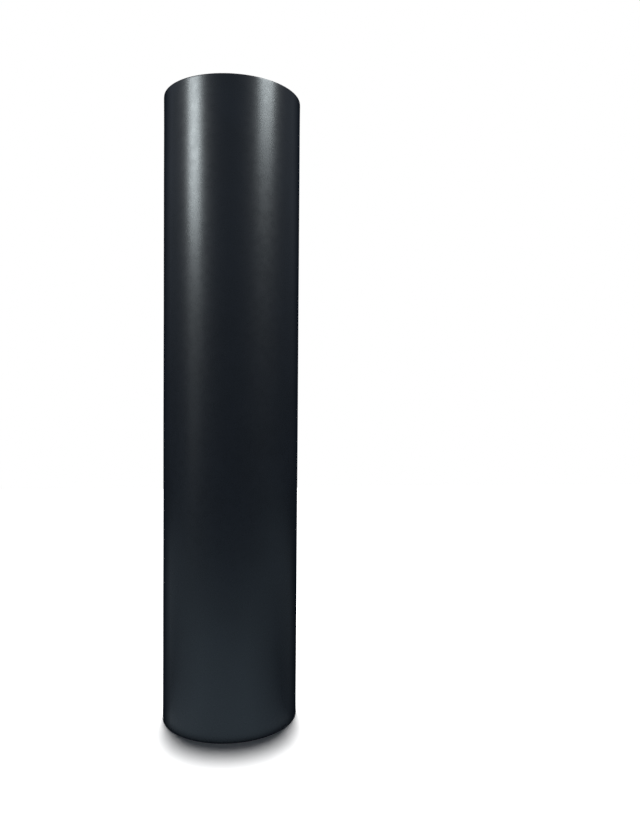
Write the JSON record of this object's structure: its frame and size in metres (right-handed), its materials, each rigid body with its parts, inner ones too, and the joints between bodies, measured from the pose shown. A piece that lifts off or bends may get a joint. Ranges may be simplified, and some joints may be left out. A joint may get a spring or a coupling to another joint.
{
  "type": "vinyl wrap film roll",
  "caption": "Dark wrap film on its release liner, wound on an open paperboard core, with its tail taped down; it stands on one end.",
  "frame": {"origin": "middle of the end that the roll stands on", "axes": "+Z along the winding axis, up; +X and +Y across the roll, with the tail edge of the film facing 110 degrees counter-clockwise from +X"},
  "size_m": [0.1333, 0.1337, 0.61],
  "materials": {
    "wrap_film": "dark satin vinyl with soft highlights; fine stripes of film and pale liner on the wound ends",
    "paperboard": "kraft paperboard tube with a helical ply seam",
    "start_tape": "double-sided paper tape, hidden under the first turn",
    "tail_tape": "creped paper tape, matte"
  },
  "bodies": {
    "root": {"core": "paperboard", "film_roll": "wrap_film", "start_tape": "start_tape", "tail_tape_bottom": "tail_tape", "tail_tape_middle": "tail_tape", "tail_tape_top": "tail_tape"}
  },
  "joints": []
}
